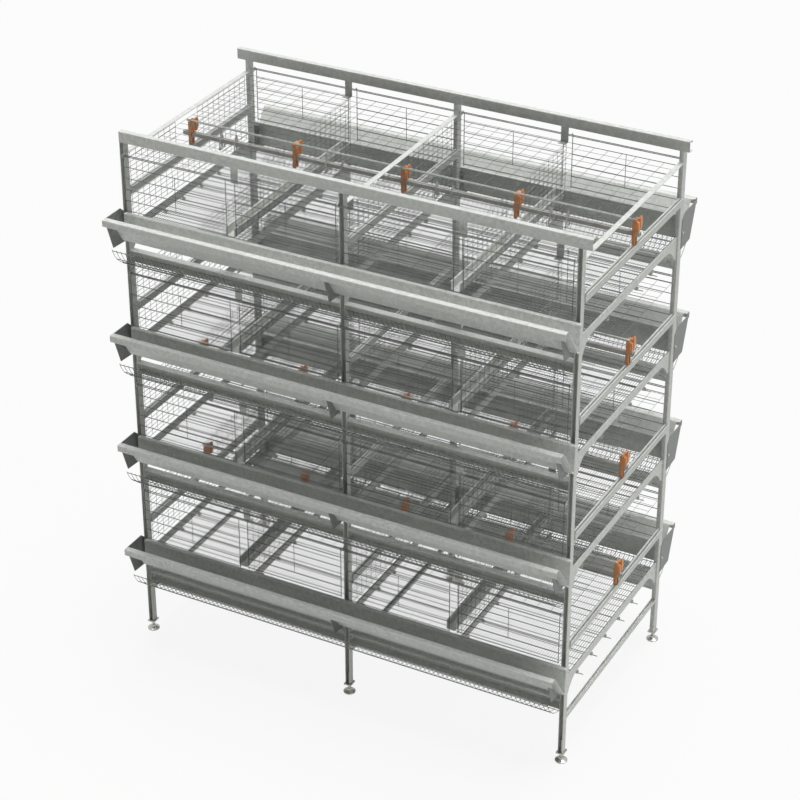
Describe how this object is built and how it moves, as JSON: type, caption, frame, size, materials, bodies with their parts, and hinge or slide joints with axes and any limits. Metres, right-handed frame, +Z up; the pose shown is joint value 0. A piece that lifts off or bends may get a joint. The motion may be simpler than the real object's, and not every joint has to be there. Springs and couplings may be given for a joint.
{
  "type": "broiler chicken cage",
  "caption": "Tiered broiler chicken cage with wire nets on a bolted galvanised frame, folded feed troughs front and back, and a water line with orange clips in every tier.",
  "frame": {"origin": "middle of the footprint on the ground", "axes": "+X along the cage to the right as seen from the front, +Y from front to back, +Z up"},
  "size_m": [2.514, 1.578, 2.9],
  "materials": {
    "galvanised_sheet": "satin",
    "galvanised_wire": "satin",
    "zinc_plated_steel": "satin",
    "stainless_steel": "satin",
    "white_plastic": "matte",
    "orange_plastic": "matte"
  },
  "bodies": {
    "cage": {"belt_beams": "galvanised_sheet", "belt_wires": "galvanised_wire", "bolts": "zinc_plated_steel", "bottom_ties": "galvanised_sheet", "ceiling_nets": "galvanised_wire", "cross_bars": "galvanised_sheet", "curl_nets": "galvanised_wire", "drip_cups": "white_plastic", "feed_trough_back_1": "galvanised_sheet", "feed_trough_back_2": "galvanised_sheet", "feed_trough_back_3": "galvanised_sheet", "feed_trough_back_4": "galvanised_sheet", "feed_trough_front_1": "galvanised_sheet", "feed_trough_front_2": "galvanised_sheet", "feed_trough_front_3": "galvanised_sheet", "feed_trough_front_4": "galvanised_sheet", "fixed_panels": "galvanised_wire", "floor_beams": "galvanised_sheet", "floor_nets": "galvanised_wire", "foot_sockets": "zinc_plated_steel", "hanging_rods": "galvanised_wire", "kick_plates": "galvanised_sheet", "net_hangers": "galvanised_sheet", "nipples": "stainless_steel", "partition_channels": "galvanised_sheet", "partition_nets": "galvanised_wire", "pipe_clips": "orange_plastic", "rod_lugs": "galvanised_sheet", "stabiliser_pipes": "galvanised_sheet", "top_rail_back": "galvanised_sheet", "top_rail_front": "galvanised_sheet", "top_ties": "galvanised_sheet", "trough_brackets": "galvanised_sheet", "uprights_back": "galvanised_sheet", "uprights_front": "galvanised_sheet", "water_pipes": "white_plastic"},
    "door_back_1a": {"door_back_1a": "galvanised_wire"},
    "door_back_1b": {"door_back_1b": "galvanised_wire"},
    "door_back_2a": {"door_back_2a": "galvanised_wire"},
    "door_back_2b": {"door_back_2b": "galvanised_wire"},
    "door_back_3a": {"door_back_3a": "galvanised_wire"},
    "door_back_3b": {"door_back_3b": "galvanised_wire"},
    "door_back_4a": {"door_back_4a": "galvanised_wire"},
    "door_back_4b": {"door_back_4b": "galvanised_wire"},
    "door_front_1a": {"door_front_1a": "galvanised_wire"},
    "door_front_1b": {"door_front_1b": "galvanised_wire"},
    "door_front_2a": {"door_front_2a": "galvanised_wire"},
    "door_front_2b": {"door_front_2b": "galvanised_wire"},
    "door_front_3a": {"door_front_3a": "galvanised_wire"},
    "door_front_3b": {"door_front_3b": "galvanised_wire"},
    "door_front_4a": {"door_front_4a": "galvanised_wire"},
    "door_front_4b": {"door_front_4b": "galvanised_wire"},
    "levelling_foot_back_left": {"levelling_foot_back_left": "zinc_plated_steel"},
    "levelling_foot_back_mid": {"levelling_foot_back_mid": "zinc_plated_steel"},
    "levelling_foot_back_right": {"levelling_foot_back_right": "zinc_plated_steel"},
    "levelling_foot_front_left": {"levelling_foot_front_left": "zinc_plated_steel"},
    "levelling_foot_front_mid": {"levelling_foot_front_mid": "zinc_plated_steel"},
    "levelling_foot_front_right": {"levelling_foot_front_right": "zinc_plated_steel"}
  },
  "joints": [
    {"name": "door_back_1a_slide", "type": "slide", "parent": "cage", "child": "door_back_1a", "axis": [-1, 0, 0], "range_m": [0, 0.56]},
    {"name": "door_back_1b_slide", "type": "slide", "parent": "cage", "child": "door_back_1b", "axis": [-1, 0, 0], "range_m": [0, 0.56]},
    {"name": "door_back_2a_slide", "type": "slide", "parent": "cage", "child": "door_back_2a", "axis": [-1, 0, 0], "range_m": [0, 0.56]},
    {"name": "door_back_2b_slide", "type": "slide", "parent": "cage", "child": "door_back_2b", "axis": [-1, 0, 0], "range_m": [0, 0.56]},
    {"name": "door_back_3a_slide", "type": "slide", "parent": "cage", "child": "door_back_3a", "axis": [-1, 0, 0], "range_m": [0, 0.56]},
    {"name": "door_back_3b_slide", "type": "slide", "parent": "cage", "child": "door_back_3b", "axis": [-1, 0, 0], "range_m": [0, 0.56]},
    {"name": "door_back_4a_slide", "type": "slide", "parent": "cage", "child": "door_back_4a", "axis": [-1, 0, 0], "range_m": [0, 0.56]},
    {"name": "door_back_4b_slide", "type": "slide", "parent": "cage", "child": "door_back_4b", "axis": [-1, 0, 0], "range_m": [0, 0.56]},
    {"name": "door_front_1a_slide", "type": "slide", "parent": "cage", "child": "door_front_1a", "axis": [1, 0, 0], "range_m": [0, 0.56]},
    {"name": "door_front_1b_slide", "type": "slide", "parent": "cage", "child": "door_front_1b", "axis": [1, 0, 0], "range_m": [0, 0.56]},
    {"name": "door_front_2a_slide", "type": "slide", "parent": "cage", "child": "door_front_2a", "axis": [1, 0, 0], "range_m": [0, 0.56]},
    {"name": "door_front_2b_slide", "type": "slide", "parent": "cage", "child": "door_front_2b", "axis": [1, 0, 0], "range_m": [0, 0.56]},
    {"name": "door_front_3a_slide", "type": "slide", "parent": "cage", "child": "door_front_3a", "axis": [1, 0, 0], "range_m": [0, 0.56]},
    {"name": "door_front_3b_slide", "type": "slide", "parent": "cage", "child": "door_front_3b", "axis": [1, 0, 0], "range_m": [0, 0.56]},
    {"name": "door_front_4a_slide", "type": "slide", "parent": "cage", "child": "door_front_4a", "axis": [1, 0, 0], "range_m": [0, 0.56]},
    {"name": "door_front_4b_slide", "type": "slide", "parent": "cage", "child": "door_front_4b", "axis": [1, 0, 0], "range_m": [0, 0.56]},
    {"name": "levelling_foot_back_left_screw", "type": "slide", "parent": "cage", "child": "levelling_foot_back_left", "axis": [0, 0, -1], "range_m": [0, 0.04]},
    {"name": "levelling_foot_back_mid_screw", "type": "slide", "parent": "cage", "child": "levelling_foot_back_mid", "axis": [0, 0, -1], "range_m": [0, 0.04]},
    {"name": "levelling_foot_back_right_screw", "type": "slide", "parent": "cage", "child": "levelling_foot_back_right", "axis": [0, 0, -1], "range_m": [0, 0.04]},
    {"name": "levelling_foot_front_left_screw", "type": "slide", "parent": "cage", "child": "levelling_foot_front_left", "axis": [0, 0, -1], "range_m": [0, 0.04]},
    {"name": "levelling_foot_front_mid_screw", "type": "slide", "parent": "cage", "child": "levelling_foot_front_mid", "axis": [0, 0, -1], "range_m": [0, 0.04]},
    {"name": "levelling_foot_front_right_screw", "type": "slide", "parent": "cage", "child": "levelling_foot_front_right", "axis": [0, 0, -1], "range_m": [0, 0.04]}
  ]
}
